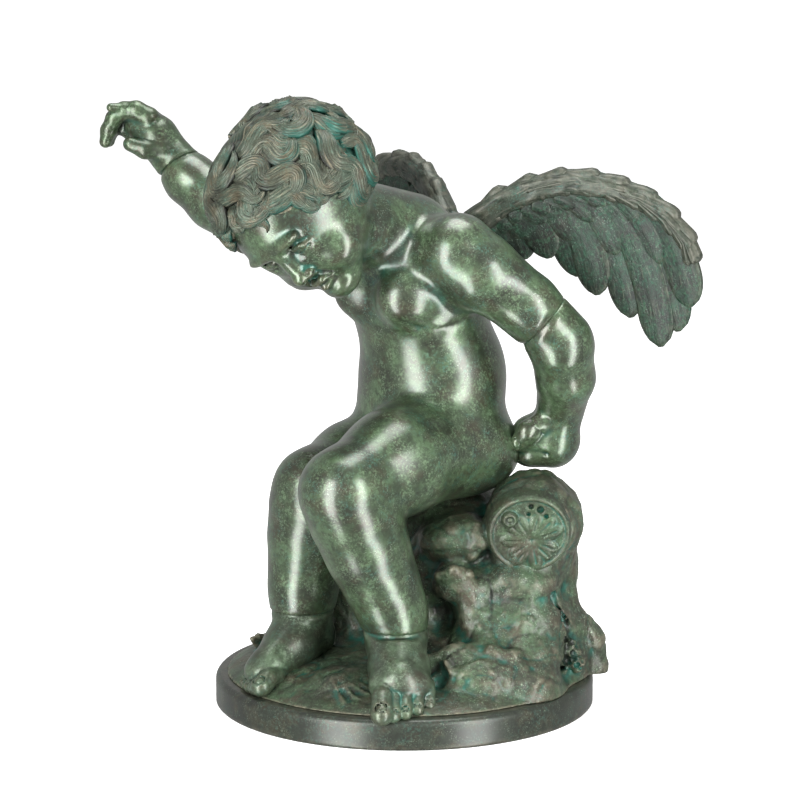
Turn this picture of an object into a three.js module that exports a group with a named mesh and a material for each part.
// Bronze putto with wings, seated on a rocky mound and leaning forward with
// the right arm raised, one cast solid on a round plinth of its own.
// Millimetres, +Z up, origin at the middle of the underside of the plinth.
import * as THREE from 'three';

// Sizes
const PLINTH_DIAMETER = 330;
const PLINTH_HEIGHT = 26;
const PLINTH_EDGE_RADIUS = 6;
const FIGURE_HEIGHT = 505; // from the plinth's top to the crown of the hair
const FACING_TURN = 47; // degrees the hips turn towards -X from straight ahead
const LEFT_WING_TURN = -20; // degrees in plan, 0 along +X
const RIGHT_WING_TURN = 119;
const ROSETTE_PETALS = 12;
const FEATHER_HALF_THICKNESS = 4.5;
const PLINTH_SIDES = 60;
const DETAIL_STEP = 3.3; // spacing of the modelling grid
const FIGURE_FACES = 9000;

// The figure's free form is written for a height of 505 and scaled to size.
const SCALE = FIGURE_HEIGHT / 505;
const GROUND_RADIUS = PLINTH_DIAMETER / 2 / SCALE;

const add = (a, b) => [a[0] + b[0], a[1] + b[1], a[2] + b[2]];
const subtract = (a, b) => [a[0] - b[0], a[1] - b[1], a[2] - b[2]];
const times = (a, k) => [a[0] * k, a[1] * k, a[2] * k];
const dot = (a, b) => a[0] * b[0] + a[1] * b[1] + a[2] * b[2];
const cross = (a, b) => [a[1] * b[2] - a[2] * b[1], a[2] * b[0] - a[0] * b[2], a[0] * b[1] - a[1] * b[0]];
const unit = (a) => times(a, 1 / Math.hypot(...a));
const sized = (point, radius) => [...point, radius];
const radians = (degrees) => (degrees * Math.PI) / 180;

// A frame with its own origin and three axes, for the body and for the head.
class Frame {
  constructor(origin, left, forward, up) {
    this.origin = origin;
    this.axes = [left, forward, up];
  }

  turn(a, b, c) {
    const [left, forward, up] = this.axes;
    return add(add(times(left, a), times(forward, b)), times(up, c));
  }

  at(a, b, c) {
    return add(this.origin, this.turn(a, b, c));
  }
}

const HIPS_TURN = radians(FACING_TURN);
const BODY = new Frame(
  [20, 18, 0],
  [Math.cos(HIPS_TURN), -Math.sin(HIPS_TURN), 0],
  [-Math.sin(HIPS_TURN), -Math.cos(HIPS_TURN), 0],
  [0, 0, 1],
);

function headFrame() {
  const forward = unit([-0.32, -0.71, -0.63]);
  const lean = [-0.75, -0.22, 0.62];
  const up = unit(subtract(lean, times(forward, dot(lean, forward))));
  return new Frame([-90, -50, 422], cross(up, forward), forward, up);
}
const HEAD = headFrame();

// Clay is a grid of distances to the surface: negative inside the metal.
// Every stroke reaches only the part of the grid round it, and melts into
// what is there over the width given as its blend.
class Clay {
  constructor(low, high, step) {
    this.low = low;
    this.step = step;
    this.count = [0, 1, 2].map((i) => Math.ceil((high[i] - low[i]) / step) + 1);
    this.values = new Float32Array(this.count[0] * this.count[1] * this.count[2]).fill(60);
  }

  index(i, j, k) {
    return (i * this.count[1] + j) * this.count[2] + k;
  }

  stroke(low, high, blend, cut, distance) {
    const margin = blend + 2 * this.step;
    const from = [0, 1, 2].map((a) => Math.max(0, Math.floor((low[a] - margin - this.low[a]) / this.step)));
    const to = [0, 1, 2].map((a) =>
      Math.min(this.count[a] - 1, Math.ceil((high[a] + margin - this.low[a]) / this.step)),
    );
    const width = Math.max(blend, 1e-6);
    for (let i = from[0]; i <= to[0]; i++) {
      const x = this.low[0] + i * this.step;
      for (let j = from[1]; j <= to[1]; j++) {
        const y = this.low[1] + j * this.step;
        for (let k = from[2]; k <= to[2]; k++) {
          const d = distance(x, y, this.low[2] + k * this.step);
          const n = this.index(i, j, k);
          const was = this.values[n];
          const meet = Math.max(width - Math.abs(cut ? was + d : was - d), 0) / width;
          const melt = meet * meet * width * 0.25;
          this.values[n] = cut ? Math.max(was, -d) + melt : Math.min(was, d) - melt;
        }
      }
    }
  }

  around(centre, reach, blend, cut, distance) {
    this.stroke(centre.map((c) => c - reach), centre.map((c) => c + reach), blend, cut, distance);
  }

  // A rod with round ends, each end with its own radius.
  bone(a, b, blend, cut = false) {
    const span = subtract(b, a);
    const length2 = dot(span, span);
    const reach = Math.max(a[3], b[3]);
    const low = [0, 1, 2].map((i) => Math.min(a[i], b[i]) - reach);
    const high = [0, 1, 2].map((i) => Math.max(a[i], b[i]) + reach);
    this.stroke(low, high, blend, cut, (x, y, z) => {
      const p = [x - a[0], y - a[1], z - a[2]];
      const t = Math.min(1, Math.max(0, dot(p, span) / length2));
      const off = Math.hypot(p[0] - t * span[0], p[1] - t * span[1], p[2] - t * span[2]);
      return off - (a[3] + (b[3] - a[3]) * t);
    });
  }

  chain(points, blend) {
    for (let i = 1; i < points.length; i++) this.bone(points[i - 1], points[i], blend);
  }

  egg(centre, radii, blend, axes = [[1, 0, 0], [0, 1, 0], [0, 0, 1]], cut = false) {
    const smallest = Math.min(...radii);
    this.around(centre, Math.max(...radii), blend, cut, (x, y, z) => {
      const p = [x - centre[0], y - centre[1], z - centre[2]];
      const q = axes.map((axis, i) => dot(p, axis) / radii[i]);
      const inner = Math.hypot(...q);
      if (inner < 0.2) return -smallest * (1 - inner);
      return (inner * (inner - 1)) / Math.hypot(q[0] / radii[0], q[1] / radii[1], q[2] / radii[2]);
    });
  }

  // A flat strip along a chain: the radii are half widths, squeezed along
  // the normal to the half thickness.
  blade(points, normal, halfThickness, blend) {
    for (let i = 1; i < points.length; i++) {
      const a = points[i - 1];
      const b = points[i];
      const span = subtract(b, a);
      const flat = subtract(span, times(normal, dot(span, normal)));
      const length2 = dot(flat, flat) + 1e-9;
      const reach = Math.max(a[3], b[3]);
      const low = [0, 1, 2].map((n) => Math.min(a[n], b[n]) - reach);
      const high = [0, 1, 2].map((n) => Math.max(a[n], b[n]) + reach);
      this.stroke(low, high, blend, false, (x, y, z) => {
        const p = [x - a[0], y - a[1], z - a[2]];
        const t = Math.min(1, Math.max(0, dot(p, flat) / length2));
        const off = [p[0] - t * span[0], p[1] - t * span[1], p[2] - t * span[2]];
        const rise = dot(off, normal);
        const across = Math.sqrt(Math.max(dot(off, off) - rise * rise, 0));
        const w = a[3] + (b[3] - a[3]) * t;
        const inner = Math.hypot(across / w, rise / halfThickness);
        if (inner < 0.2) return -halfThickness * (1 - inner);
        return (inner * (inner - 1)) / Math.hypot(across / (w * w), rise / (halfThickness * halfThickness));
      });
    }
  }

  // A short round bar with softened edges.
  drum(centre, axis, radius, halfLength, edge, blend, cut = false) {
    this.around(centre, Math.hypot(radius, halfLength), blend, cut, (x, y, z) => {
      const p = [x - centre[0], y - centre[1], z - centre[2]];
      const along = dot(p, axis);
      const out = Math.sqrt(Math.max(dot(p, p) - along * along, 0)) - radius + edge;
      const end = Math.abs(along) - halfLength + edge;
      return Math.min(Math.max(out, end), 0) + Math.hypot(Math.max(out, 0), Math.max(end, 0)) - edge;
    });
  }

  // A fold pressed into the flesh of a limb, deepest on one side.
  fold(centre, axis, radius, depth, side) {
    this.around(centre, radius + depth, 3, true, (x, y, z) => {
      const p = [x - centre[0], y - centre[1], z - centre[2]];
      const along = dot(p, axis);
      const out = Math.sqrt(Math.max(dot(p, p) - along * along, 1e-9));
      const fade = Math.max(0, 0.55 - dot(p, side) / out);
      return Math.hypot(out - radius, along) - depth + depth * 1.6 * fade;
    });
  }

  floor(height) {
    for (let k = 0; k < this.count[2]; k++) {
      const above = height - (this.low[2] + k * this.step);
      for (let i = 0; i < this.count[0]; i++) {
        for (let j = 0; j < this.count[1]; j++) {
          const n = this.index(i, j, k);
          this.values[n] = Math.max(this.values[n], above);
        }
      }
    }
  }
}

// Rock, seat, fallen drum with a rosette and the ground under the feet
function modelMound(clay) {
  clay.egg([0, 0, -14], [GROUND_RADIUS + 1, GROUND_RADIUS + 1, 42], 0);
  clay.chain([[50, 24, 104, 56], [48, 24, 62, 72], [44, 26, 20, 88]], 14);
  clay.egg([42, 40, 120], [58, 54, 44], 12);
  clay.egg([43, -30, 122], [30, 26, 26], 8);
  clay.egg([41, -50, 85], [20, 22, 27], 5);
  clay.egg([96, 20, 169], [11, 14, 8], 5);
  clay.egg([96, -20, 75], [38, 36, 28], 10);
  clay.egg([126, 4, 18], [40, 58, 43], 14);
  clay.egg([64, -88, 18], [38, 30, 26], 10);
  clay.egg([92, -88, 6], [26, 24, 18], 8);
  clay.egg([113, 22, 90], [40, 48, 46], 12);
  clay.chain([[138, -20, 66, 8], [152, -20, 36, 9], [170, -12, 3, 7.5]], 6);
  clay.egg([-50, -95, 14], [26, 26, 16], 8);
  clay.egg([-123, 30, 13], [15, 16, 13], 6);
  clay.chain([[-48, 20, 20, 24], [-48, 25, 64, 20], [-17, 30, 63, 32]], 14);
}

function modelRosette(clay) {
  const axis = unit([0.02, -0.97, -0.22]);
  const across = unit(cross(axis, [0, 0, 1]));
  const upright = cross(across, axis);
  const middle = [106, -62, 133];
  clay.drum(subtract(middle, times(axis, 20)), axis, 36, 20, 8, 6);
  clay.drum(add(middle, times(axis, 2)), axis, 31, 5, 3, 2, true);
  clay.egg(subtract(middle, times(axis, 5)), [9, 9, 9], 2);
  for (let i = 0; i < ROSETTE_PETALS; i++) {
    const turn = (2 * Math.PI * i) / ROSETTE_PETALS;
    const out = add(times(across, Math.cos(turn)), times(upright, Math.sin(turn)));
    const along = (distance, sink) => add(subtract(middle, times(axis, sink)), times(out, distance));
    const petal = [sized(along(6, 4), 3), sized(along(19, 3), 6.5), sized(along(27, 3), 4)];
    clay.blade(petal, axis, 4, 1.5);
  }
}

function modelTrunk(clay) {
  const axes = BODY.axes;
  clay.egg([24, 20, 256], [68, 61, 74], 0, axes);
  clay.egg([20, 17, 212], [66, 56, 46], 22, axes);
  clay.egg([9, 6, 333], [62, 54, 60], 26, axes);
  clay.egg([3, 1, 366], [58, 40, 34], 20, axes);
  clay.egg([0, -46, 334], [24, 18, 22], 14);
  clay.egg([-36, -10, 334], [24, 18, 22], 14);
  clay.bone([4, 4, 382, 36], [-42, -32, 396, 37], 16);
  clay.egg([60, -2, 196], [40, 38, 36], 16);
  clay.egg([20, 50, 196], [40, 38, 36], 16);
  clay.fold([26, 22, 206], unit([0.2, 0.2, 1]), 64, 2.5, [-0.7, -0.7, 0]);
}

function modelLegs(clay) {
  clay.chain([[36, -14, 203, 47], [-8, -62, 196, 43], [-50, -107, 181, 36]], 18);
  clay.chain([[-50, -107, 179, 35], [-32, -94, 130, 34], [-9, -85, 76, 26], [-7, -84, 54, 25]], 12);
  clay.chain([[-7, -80, 38, 25], [-5, -106, 31, 23], [-4, -128, 24, 21]], 10);
  clay.egg([-4, -138, 19], [26, 20, 14], 8);
  clay.chain([[-7, 42, 189, 42], [-44, 3, 180, 37.5], [-76, -38, 170, 32]], 12);
  clay.chain([[-79, -37, 169, 31.5], [-83, -26, 130, 32], [-87, -22, 78, 26], [-89, -22, 56, 25]], 12);
  clay.chain([[-82, -14, 34, 22], [-98, -38, 31, 22], [-114, -62, 20, 18]], 9);
  clay.egg([-120, -68, 16], [17, 17, 12], 8);
  clay.fold([-6.5, -84, 58], [0, 0, -1], 27, 2.2, [0, -1, 0]);
  clay.fold([-89, -22, 60], [0, 0, -1], 27, 2.2, [-0.45, -0.89, 0]);
}

// Five toes fan out from the ball of each foot, the great toe first.
function modelToes(clay) {
  const radii = [8.7, 7, 6.6, 6.2, 6];
  const ahead = unit([-0.63, -0.78, 0]);
  const inward = unit([0.78, -0.63, 0]);
  radii.forEach((radius, i) => {
    const back = i * i;
    const left = [-20 + 9.5 * i, -146 + 0.9 * back, 16 - 0.2 * i, radius];
    clay.bone(left, [left[0], -167 + 1.5 * back + 2 * i, radius, radius * 0.92], 2.5);
    const middle = add([-121, -70, 0], times(inward, 15 - 7.6 * i));
    const root = subtract(middle, times(ahead, 0.6 * back));
    const tip = add(middle, times(ahead, 19 - 0.9 * back));
    clay.bone([root[0], root[1], 14, radius * 0.97], [tip[0], tip[1], radius, radius * 0.88], 2.5);
  });
}

function modelArms(clay) {
  clay.chain([[44, -42, 372, 34], [64, -46, 355, 33]], 14);
  clay.chain([[65, -46, 357, 31.5], [103, -46, 328, 27.5], [132, -44, 298, 27]], 5);
  clay.chain([[133, -43, 289, 27.5], [137, -32, 264, 24.5], [134, -12, 234, 21]], 6);
  clay.chain([[-42, 34, 362, 33], [-90, 60, 380, 29], [-116, 80, 386, 28], [-143, 96, 389, 27.5]], 14);
  clay.chain([[-143, 96, 388, 27.5], [-167, 106, 400, 26], [-191, 116, 418, 22.5], [-209, 124, 437, 17]], 8);
  clay.fold([128, -44, 292], unit([0.75, 0.25, -0.6]), 31, 2, [-0.1, -0.97, 0.2]);
  clay.fold([131, -10, 230], unit([0, 0.45, -0.9]), 23, 1.6, [-0.5, -0.86, 0]);
  clay.fold([-199, 120, 431], unit([-0.5, 0.35, 0.8]), 21, 1.8, [0, -0.9, -0.43]);
}

// The left hand is a fist on the hip; the right hand hangs from a bent wrist
// with two fingers down and two curled into the palm.
function modelHands(clay) {
  clay.egg([128, 2, 212], [21, 24, 26], 8);
  clay.egg([133, 6, 197], [17, 24, 16], 8);
  for (let i = 0; i < 4; i++) {
    const y = -10 + 11 * i;
    const drop = 2.3 * i;
    clay.chain([
      [139 - 2 * i, y, 195 - drop, 10],
      [124, y, 189 - 1.3 * i, 9.5],
      [101 + 2.3 * i, y + 2, 196 - 2 * i, 8],
    ], 3);
  }
  clay.chain([[125, -16, 229, 11], [109, -19, 226, 9.5], [98, -14, 215, 8.5], [93, -10, 204, 7]], 4);

  clay.chain([[-207, 122, 440, 15.5], [-221, 128, 454, 17], [-234, 132, 466, 15]], 7);
  for (let i = 0; i < 4; i++) {
    const y = 121 + 9 * i;
    const knuckles = [[-228, y, 473 - 2 * i, 9], [-244, y, 480 - 1.5 * i, 7.5]];
    const down = [[-258, y + 3, 476 - 2 * i, 7], [-264 + i, y + 3, 461, 7.5], [-270 + 3 * i, y + 2, 446, 4]];
    const curled = [[-254, y, 472, 6.5], [-250, y - 4, 460, 6.5], [-242, y - 6, 454, 5.5]];
    clay.chain([...knuckles, ...(i < 2 ? down : curled)], 2.5);
  }
  clay.bone([-256, 118, 480, 5], [-260, 116, 481, 4], 2);
  clay.chain([[-214, 114, 444, 10], [-230, 112, 444, 8], [-243, 112, 449, 6.5]], 4);
}

function modelHead(clay) {
  const { axes } = HEAD;
  const egg = (place, radii, blend, cut) => clay.egg(HEAD.at(...place), radii, blend, axes, cut);
  egg([0, 0, 0], [58, 72, 66], 0);
  egg([4, 19, -24], [45, 44, 47], 14);
  egg([4, 43, -64], [21, 17, 16], 12);
  for (const side of [1, -1]) {
    egg([4 + 24 * side, 39, -42], [21, 20, 19], 10);
    egg([4 + 21 * side, 70, -17], [11, 9, 8], 6, true);
    egg([4 + 21 * side, 56, -17], [10.5, 9, 8], 2);
    egg([4 + 21 * side, 61, -6], [14, 7, 4], 6);
    egg([4 + 6.5 * side, 67, -35], [5, 6, 5], 3);
  }
  clay.bone(sized(HEAD.at(4, 63, -12), 6), sized(HEAD.at(4, 69, -31), 7), 6);
  egg([4, 62, -47], [14, 6, 4.5], 3);
  egg([4, 60, -55], [11, 7, 5], 3);
}

// The path of one lock over the skull: it starts at a distance from the
// crown and a bearing round the head, and its heading swings as it goes.
function lockPath(fromCrown, bearing, heading, length, curl) {
  const path = [];
  const steps = 8;
  for (let i = 0; i < steps; i++) {
    const ring = Math.sin(fromCrown);
    path.push([ring * Math.sin(bearing), ring * Math.cos(bearing), Math.cos(fromCrown)]);
    const stride = length / (steps - 1) / 74;
    fromCrown += Math.cos(heading) * stride;
    bearing += (Math.sin(heading) * stride) / Math.max(ring, 0.25);
    heading += curl * stride * (0.2 + (1.6 * i) / (steps - 1));
  }
  return path;
}

// Locks lie in rings from the crown down to the neck, left out over the face.
function hairLocks() {
  const rings = [
    { angle: 10, locks: 4, length: 46, free: 0 },
    { angle: 32, locks: 9, length: 48, free: 0 },
    { angle: 54, locks: 13, length: 48, free: 0 },
    { angle: 74, locks: 16, length: 46, free: 50 },
    { angle: 94, locks: 17, length: 42, free: 76 },
    { angle: 112, locks: 17, length: 34, free: 92 },
  ];
  const locks = [];
  rings.forEach((ring, level) => {
    for (let j = 0; j < ring.locks; j++) {
      const k = locks.length;
      const bearing = (2 * Math.PI * (j + 0.5 * (level % 2))) / ring.locks + 0.2 * Math.sin(k * 2.4);
      const fromFace = Math.abs(((((bearing * 180) / Math.PI + 180) % 360) + 360) % 360 - 180);
      if (fromFace < ring.free) continue;
      let swing = k % 2 === 0 ? 1 : -1;
      if (level >= 2 && fromFace < 75) swing = k % 3 ? 1 : -1;
      const fringe = level === 2 && fromFace < 55 ? 0.8 : 1;
      locks.push({
        layer: k % 3,
        path: lockPath(
          radians(ring.angle + 4 * Math.sin(k * 4.1)),
          bearing,
          swing * (0.8 + 0.3 * Math.sin(k * 1.7)),
          ring.length * (1 + 0.12 * Math.sin(k * 5.3)) * fringe,
          -swing * (3.4 + Math.sin(k * 3.1)),
        ),
      });
    }
  });
  return locks;
}

function modelHair(clay) {
  const cap = [61, 74, 66];
  const middle = [-2, -4, 5];
  const halfWidths = [6, 9, 11, 11.5, 11, 9.5, 7, 4];
  for (const { layer, path } of hairLocks()) {
    let before = null;
    path.forEach((direction, j) => {
      const normal = unit(direction.map((c, i) => c / cap[i]));
      const lift = 1 + 2.6 * layer;
      const place = direction.map((c, i) => middle[i] + c * cap[i] + normal[i] * lift);
      const here = sized(HEAD.at(...place), halfWidths[j]);
      if (before) clay.blade([before, here], HEAD.turn(...normal), j < 6 ? 7.5 : 5.5, 0.8);
      before = here;
    });
  }
}

// A wing is drawn flat: reach runs out from its root and rise up from the
// plinth; the sheet of feathers cups a little towards its front.
const FEATHER_TIPS = [
  [22, -37], [47, -34], [69, -32], [94, -47], [112, -62], [142, -80], [170, -103], [185, -89], [196, -67],
];
const LONGEST_INNER_FEATHER = 5;

class Wing {
  constructor(root, turn, front, size) {
    this.root = root;
    this.out = [Math.cos(radians(turn)), Math.sin(radians(turn)), 0];
    this.normal = times(cross(this.out, [0, 0, 1]), front);
    this.size = size;
  }

  at(reach, rise, lift = 0) {
    const cup = 11 * Math.sin(Math.PI * Math.min(1, Math.max(0, reach / 213)));
    const flat = add(add(this.root, times(this.out, reach * this.size)), [0, 0, rise * this.size]);
    return subtract(flat, times(this.normal, cup + lift));
  }

  // Feather i of the row: from the arm of the wing out and down to its tip.
  feather(i) {
    const s = i / (FEATHER_TIPS.length - 1);
    const arm = [4 + 118 * Math.pow(s, 0.9), -11 + 39 * Math.sin((s * Math.PI) / 2)];
    const tip = FEATHER_TIPS[i];
    const bend = [arm[0] * 0.3 + tip[0] * 0.7 + 5 * s, arm[1] * 0.82 + 2 * s];
    return (t) => [0, 1].map((n) => (1 - t) ** 2 * arm[n] + 2 * t * (1 - t) * bend[n] + t * t * tip[n]);
  }
}

const WINGS = [
  new Wing([57, 30, 392], LEFT_WING_TURN, 1, 1),
  new Wing([37, 38, 395], RIGHT_WING_TURN, -1, 1),
];

function modelWing(clay, wing) {
  const arm = [
    [-14, -20, 17], [2, -6, 13], [30, 16, 12], [60, 29, 11],
    [90, 34, 10.5], [120, 31, 9.5], [152, 22, 8], [177, 7, 6],
  ];
  clay.chain(arm.map(([reach, rise, radius]) => sized(wing.at(reach, rise), radius)), 8);
  const halfWidths = [9, 11, 13, 14.5, 15, 14, 9.5];
  for (let i = 0; i < FEATHER_TIPS.length; i++) {
    const line = wing.feather(i);
    const broad = i === LONGEST_INNER_FEATHER ? 1.15 : 1;
    const vane = halfWidths.map((w, j) => sized(wing.at(...line(j / 6), (i % 2) * 3 - 1.5), w * broad));
    clay.blade(vane, wing.normal, FEATHER_HALF_THICKNESS, 1);
  }
  for (const cover of [{ end: 0.62, half: 7, width: 12.5, shift: 3 }, { end: 0.36, half: 9.5, width: 11, shift: 0 }]) {
    for (let i = 0; i < FEATHER_TIPS.length; i++) {
      const line = wing.feather(i);
      const short = [0, 1, 2, 3].map((j) => {
        const [reach, rise] = line((j / 3) * cover.end);
        return sized(wing.at(reach + cover.shift, rise + 2), cover.width * (j === 3 ? 0.75 : 1));
      });
      clay.blade(short, wing.normal, cover.half, 1);
    }
  }
}

// Corners of a cell, and whether the marked ones hang together along its edges
const CORNERS = [0, 1, 2, 3, 4, 5, 6, 7].map((n) => [n & 1, (n >> 1) & 1, n >> 2]);

function hangsTogether(pattern) {
  if (pattern === 0) return true;
  const first = CORNERS.findIndex((_, n) => pattern & (1 << n));
  let seen = 1 << first;
  const open = [first];
  while (open.length) {
    const n = open.pop();
    for (const side of [1, 2, 4]) {
      const next = 1 << (n ^ side);
      if (pattern & next && !(seen & next)) {
        seen |= next;
        open.push(n ^ side);
      }
    }
  }
  return seen === pattern;
}

function crossesAFace(pattern) {
  for (const side of [1, 2, 4]) {
    const [a, b] = [1, 2, 4].filter((s) => s !== side);
    for (const base of [0, side]) {
      const four = [base, base | a, base | a | b, base | b].map((n) => (pattern >> n) & 1);
      if (four[0] === four[2] && four[1] === four[3] && four[0] !== four[1]) return true;
    }
  }
  return false;
}

const SOUND = Array.from({ length: 256 }, (_, pattern) =>
  hangsTogether(pattern) && hangsTogether(255 ^ pattern) && !crossesAFace(pattern));

// Fills single grid points until every cell holds one plain piece of surface.
function settle(clay) {
  const { values, count } = clay;
  const offsets = CORNERS.map(([i, j, k]) => clay.index(i, j, k));
  let changed = true;
  while (changed) {
    changed = false;
    for (let i = 0; i < count[0] - 1; i++) {
      for (let j = 0; j < count[1] - 1; j++) {
        for (let k = 0; k < count[2] - 1; k++) {
          const base = clay.index(i, j, k);
          let pattern = 0;
          for (let n = 0; n < 8; n++) if (values[base + offsets[n]] < 0) pattern |= 1 << n;
          if (SOUND[pattern]) continue;
          let nearest = -1;
          for (let n = 0; n < 8; n++) {
            const value = values[base + offsets[n]];
            if (value >= 0 && (nearest < 0 || value < values[base + offsets[nearest]])) nearest = n;
          }
          values[base + offsets[nearest]] = -0.05;
          changed = true;
        }
      }
    }
  }
}

// Fills every hollow that the air outside can't reach.
function fillHollows(clay) {
  const { values, count } = clay;
  const strides = [clay.index(1, 0, 0), clay.index(0, 1, 0), 1];
  const reached = new Uint8Array(values.length);
  const open = [0];
  reached[0] = 1;
  while (open.length) {
    const n = open.pop();
    const place = [Math.floor(n / strides[0]), Math.floor(n / strides[1]) % count[1], n % count[2]];
    for (let axis = 0; axis < 3; axis++) {
      for (const way of [-1, 1]) {
        const next = n + way * strides[axis];
        if (place[axis] + way < 0 || place[axis] + way >= count[axis]) continue;
        if (reached[next] || values[next] < 0) continue;
        reached[next] = 1;
        open.push(next);
      }
    }
  }
  for (let n = 0; n < values.length; n++) if (!reached[n] && values[n] >= 0) values[n] = -0.05;
}

// One vertex in every cell that the surface passes through, and one square
// across every grid edge that it cuts.
function skin(clay) {
  const { values, count, low, step } = clay;
  const cellVertex = new Int32Array(values.length).fill(-1);
  const offsets = CORNERS.map(([i, j, k]) => clay.index(i, j, k));
  const points = [];
  for (let i = 0; i < count[0] - 1; i++) {
    for (let j = 0; j < count[1] - 1; j++) {
      for (let k = 0; k < count[2] - 1; k++) {
        const base = clay.index(i, j, k);
        let inside = 0;
        for (let n = 0; n < 8; n++) if (values[base + offsets[n]] < 0) inside++;
        if (inside === 0 || inside === 8) continue;
        const sum = [0, 0, 0];
        let hits = 0;
        for (let n = 0; n < 8; n++) {
          for (const side of [1, 2, 4]) {
            if (n & side) continue;
            const a = values[base + offsets[n]];
            const b = values[base + offsets[n | side]];
            if (a < 0 === b < 0) continue;
            const t = a / (a - b);
            const from = CORNERS[n];
            const to = CORNERS[n | side];
            for (let c = 0; c < 3; c++) sum[c] += from[c] + (to[c] - from[c]) * t;
            hits++;
          }
        }
        cellVertex[base] = points.length;
        points.push([i, j, k].map((cell, c) => low[c] + (cell + sum[c] / hits) * step));
      }
    }
  }
  const strides = [clay.index(1, 0, 0), clay.index(0, 1, 0), clay.index(0, 0, 1)];
  const faces = [];
  for (let i = 1; i < count[0] - 1; i++) {
    for (let j = 1; j < count[1] - 1; j++) {
      for (let k = 1; k < count[2] - 1; k++) {
        const n = clay.index(i, j, k);
        const here = values[n] < 0;
        for (let axis = 0; axis < 3; axis++) {
          if (here === values[n + strides[axis]] < 0) continue;
          const u = strides[(axis + 1) % 3];
          const w = strides[(axis + 2) % 3];
          const ring = [n - u - w, n - w, n, n - u].map((cell) => cellVertex[cell]);
          if (!here) ring.reverse();
          const [a, b, c, d] = ring;
          const even = distance2(points[a], points[c]) <= distance2(points[b], points[d]);
          if (even) faces.push([a, b, c], [a, c, d]);
          else faces.push([a, b, d], [b, c, d]);
        }
      }
    }
  }
  return { points, faces };
}

function distance2(a, b) {
  const d = subtract(a, b);
  return dot(d, d);
}

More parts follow.
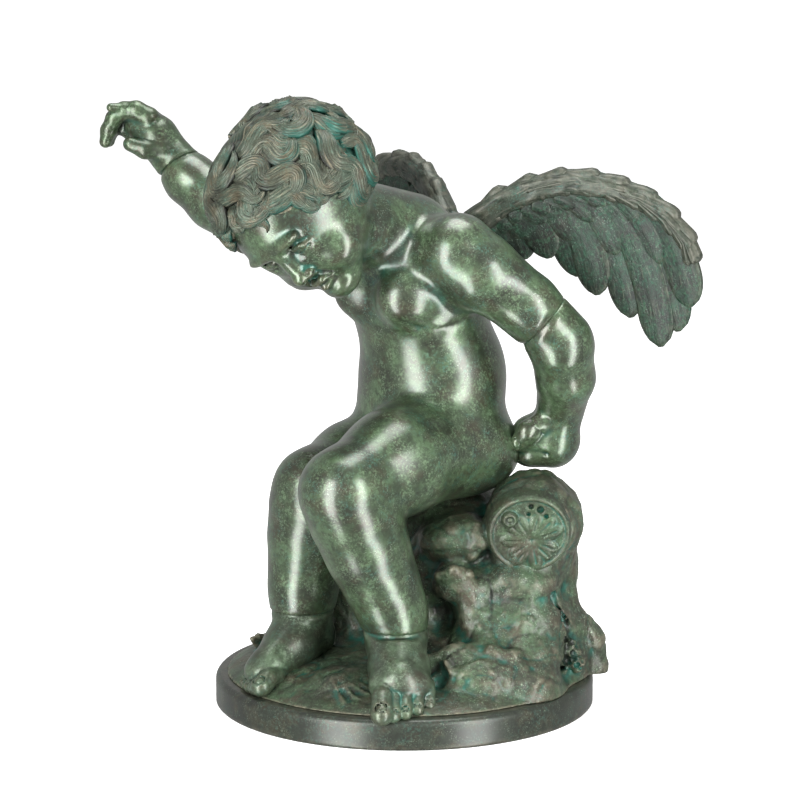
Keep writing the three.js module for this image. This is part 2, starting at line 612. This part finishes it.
// Simplifies a closed skin by pulling its least telling edges together. Each
// vertex carries the sum of squared distances to the planes it stood on, with
// more weight where the carving is fine.
class Simplifier {
  constructor({ points, faces }, weigh) {
    this.points = points.map((p) => [...p]);
    this.faces = faces.map((f) => [...f]);
    this.alive = new Uint8Array(faces.length).fill(1);
    this.left = faces.length;
    this.fans = points.map(() => []);
    this.faces.forEach((face, n) => face.forEach((v) => this.fans[v].push(n)));
    this.stamps = new Int32Array(points.length);
    this.gone = new Uint8Array(points.length);
    this.quadrics = points.map(() => new Float64Array(10));
    for (const face of this.faces) this.lay(face, weigh);
    this.heap = [];
    for (const [a, b, c] of this.faces) {
      if (a < b) this.offer(a, b);
      if (b < c) this.offer(b, c);
      if (c < a) this.offer(c, a);
    }
  }

  lay(face, weigh) {
    const [a, b, c] = face.map((v) => this.points[v]);
    const normal = cross(subtract(b, a), subtract(c, a));
    const size = Math.hypot(...normal);
    if (size < 1e-9) return;
    const [x, y, z] = times(normal, 1 / size);
    const d = -(x * a[0] + y * a[1] + z * a[2]);
    const weight = (size / 2) * weigh(a);
    const terms = [x * x, x * y, x * z, x * d, y * y, y * z, y * d, z * z, z * d, d * d];
    for (const v of face) {
      const q = this.quadrics[v];
      for (let i = 0; i < 10; i++) q[i] += terms[i] * weight;
    }
  }

  // The best place for the joined vertex, and what it costs to put it there.
  meet(a, b) {
    const q = new Float64Array(10);
    for (let i = 0; i < 10; i++) q[i] = this.quadrics[a][i] + this.quadrics[b][i];
    const p = this.points[a];
    const r = this.points[b];
    const cost = ([x, y, z]) =>
      q[0] * x * x + 2 * q[1] * x * y + 2 * q[2] * x * z + 2 * q[3] * x + q[4] * y * y +
      2 * q[5] * y * z + 2 * q[6] * y + q[7] * z * z + 2 * q[8] * z + q[9];
    const middle = times(add(p, r), 0.5);
    const choices = [p, r, middle];
    const m = [[q[0], q[1], q[2]], [q[1], q[4], q[5]], [q[2], q[5], q[7]]];
    const det = dot(m[0], cross(m[1], m[2]));
    const scale = q[0] + q[4] + q[7];
    if (Math.abs(det) > 1e-4 * scale ** 3) {
      const right = [-q[3], -q[6], -q[8]];
      const inverse = [cross(m[1], m[2]), cross(m[2], m[0]), cross(m[0], m[1])];
      const best = [0, 1, 2].map((n) => inverse.reduce((sum, row, k) => sum + row[n] * right[k], 0) / det);
      if (distance2(best, middle) < 4 * distance2(p, r)) choices.push(best);
    }
    let chosen = null;
    let least = Infinity;
    for (const place of choices) {
      const price = cost(place);
      if (price < least - 1e-12) {
        least = price;
        chosen = place;
      }
    }
    return { place: chosen, price: least + 1e-7 * distance2(p, r) };
  }

  offer(a, b) {
    const { place, price } = this.meet(a, b);
    const entry = { a, b, place, price, stamp: this.stamps[a] + this.stamps[b] };
    const { heap } = this;
    heap.push(entry);
    let n = heap.length - 1;
    while (n > 0) {
      const parent = (n - 1) >> 1;
      if (heap[parent].price <= entry.price) break;
      heap[n] = heap[parent];
      n = parent;
    }
    heap[n] = entry;
  }

  take() {
    const { heap } = this;
    const top = heap[0];
    const last = heap.pop();
    if (heap.length) {
      let n = 0;
      for (;;) {
        let child = 2 * n + 1;
        if (child >= heap.length) break;
        if (child + 1 < heap.length && heap[child + 1].price < heap[child].price) child++;
        if (heap[child].price >= last.price) break;
        heap[n] = heap[child];
        n = child;
      }
      heap[n] = last;
    }
    return top;
  }

  neighbours(v) {
    const set = new Set();
    for (const n of this.fans[v]) for (const w of this.faces[n]) if (w !== v) set.add(w);
    return set;
  }

  // A move is refused if a face would fold over or shrink to a sliver.
  folds(v, other, place) {
    for (const n of this.fans[v]) {
      const face = this.faces[n];
      if (face.includes(other)) continue;
      const before = face.map((w) => this.points[w]);
      const after = face.map((w) => (w === v ? place : this.points[w]));
      const was = cross(subtract(before[1], before[0]), subtract(before[2], before[0]));
      const now = cross(subtract(after[1], after[0]), subtract(after[2], after[0]));
      const size = Math.hypot(...now);
      if (dot(was, now) < 0.25 * Math.hypot(...was) * size) return true;
      const longest = Math.max(
        distance2(after[0], after[1]), distance2(after[1], after[2]), distance2(after[2], after[0]));
      if (size < 0.06 * longest) return true;
    }
    return false;
  }

  run(target) {
    while (this.left > target && this.heap.length) {
      const { a, b, place, stamp } = this.take();
      if (this.gone[a] || this.gone[b] || stamp !== this.stamps[a] + this.stamps[b]) continue;
      const around = this.neighbours(b);
      const shared = [...this.neighbours(a)].filter((v) => around.has(v));
      if (shared.length !== 2) continue;
      if (this.folds(a, b, place) || this.folds(b, a, place)) continue;
      this.join(a, b, place);
    }
    return this.result();
  }

  join(a, b, place) {
    for (const n of this.fans[b]) {
      const face = this.faces[n];
      if (face.includes(a)) {
        this.alive[n] = 0;
        this.left--;
        for (const v of face) if (v !== b) this.fans[v] = this.fans[v].filter((m) => m !== n);
      } else {
        face[face.indexOf(b)] = a;
        this.fans[a].push(n);
      }
    }
    this.fans[b] = [];
    this.gone[b] = 1;
    this.points[a] = place;
    for (let i = 0; i < 10; i++) this.quadrics[a][i] += this.quadrics[b][i];
    this.stamps[a] += 1;
    const ring = this.neighbours(a);
    for (const v of ring) this.offer(a, v);
  }

  result() {
    const renamed = new Map();
    const points = [];
    const faces = [];
    this.faces.forEach((face, n) => {
      if (!this.alive[n]) return;
      faces.push(face.map((v) => {
        if (!renamed.has(v)) {
          renamed.set(v, points.length);
          points.push(this.points[v]);
        }
        return renamed.get(v);
      }));
    });
    return { points, faces };
  }
}

// Hands, face, feet and rosette keep more of their faces than the rest.
function carvingWeight(point) {
  const fine = [
    { middle: HEAD.at(0, 50, -34), reach: 46, weight: 10 },
    { middle: [-243, 132, 466], reach: 42, weight: 9 },
    { middle: [120, 4, 200], reach: 42, weight: 4 },
    { middle: [0, -152, 10], reach: 40, weight: 8 },
    { middle: [-122, -74, 10], reach: 36, weight: 8 },
    { middle: [106, -66, 133], reach: 44, weight: 5 },
  ];
  const near = fine.find(({ middle, reach }) => distance2(middle, point) < reach * reach);
  return near ? near.weight : 1;
}

function toGeometry({ points, faces }) {
  const geometry = new THREE.BufferGeometry();
  geometry.setAttribute('position', new THREE.Float32BufferAttribute(points.flat(), 3));
  geometry.setIndex(faces.flat());
  geometry.computeVertexNormals();
  return geometry;
}

function buildFigure() {
  const reach = Math.max(190, GROUND_RADIUS + 12);
  const low = [Math.min(-285, -reach), -Math.max(205, reach), -DETAIL_STEP * 2.5];
  const clay = new Clay(low, [Math.max(285, reach), Math.max(262, reach), 525], DETAIL_STEP);
  modelMound(clay);
  modelRosette(clay);
  modelTrunk(clay);
  modelLegs(clay);
  modelToes(clay);
  modelArms(clay);
  modelHands(clay);
  modelHead(clay);
  modelHair(clay);
  WINGS.forEach((wing) => modelWing(clay, wing));
  clay.floor(0);
  settle(clay);
  fillHollows(clay);
  const { points, faces } = new Simplifier(skin(clay), carvingWeight).run(FIGURE_FACES);
  const lifted = points.map(([x, y, z]) => [x * SCALE, y * SCALE, Math.max(0, z) * SCALE + PLINTH_HEIGHT]);
  return toGeometry({ points: lifted, faces });
}

// A turned disc with a rounded upper edge, its profile closed on the axis.
function buildPlinth() {
  const radius = PLINTH_DIAMETER / 2;
  const edge = Math.min(PLINTH_EDGE_RADIUS, PLINTH_HEIGHT * 0.9);
  const profile = [new THREE.Vector2(0, 0), new THREE.Vector2(radius - 1, 0), new THREE.Vector2(radius, 1)];
  for (let i = 0; i <= 3; i++) {
    const turn = (i / 3) * (Math.PI / 2);
    const out = radius - edge + edge * Math.cos(turn);
    profile.push(new THREE.Vector2(out, PLINTH_HEIGHT - edge + edge * Math.sin(turn)));
  }
  profile.push(new THREE.Vector2(0, PLINTH_HEIGHT));
  return new THREE.LatheGeometry(profile, PLINTH_SIDES).rotateX(Math.PI / 2);
}

function named(name, geometry, color, roughness) {
  const mesh = new THREE.Mesh(geometry, new THREE.MeshStandardMaterial({ color, roughness, metalness: 0.7 }));
  mesh.name = name;
  return mesh;
}

const part = new THREE.Group();
part.name = 'bronze_putto';
part.add(named('round_plinth', buildPlinth(), '#2b3029', 0.35));
part.add(named('putto_on_rock', buildFigure(), '#2f4636', 0.4));

export default part;
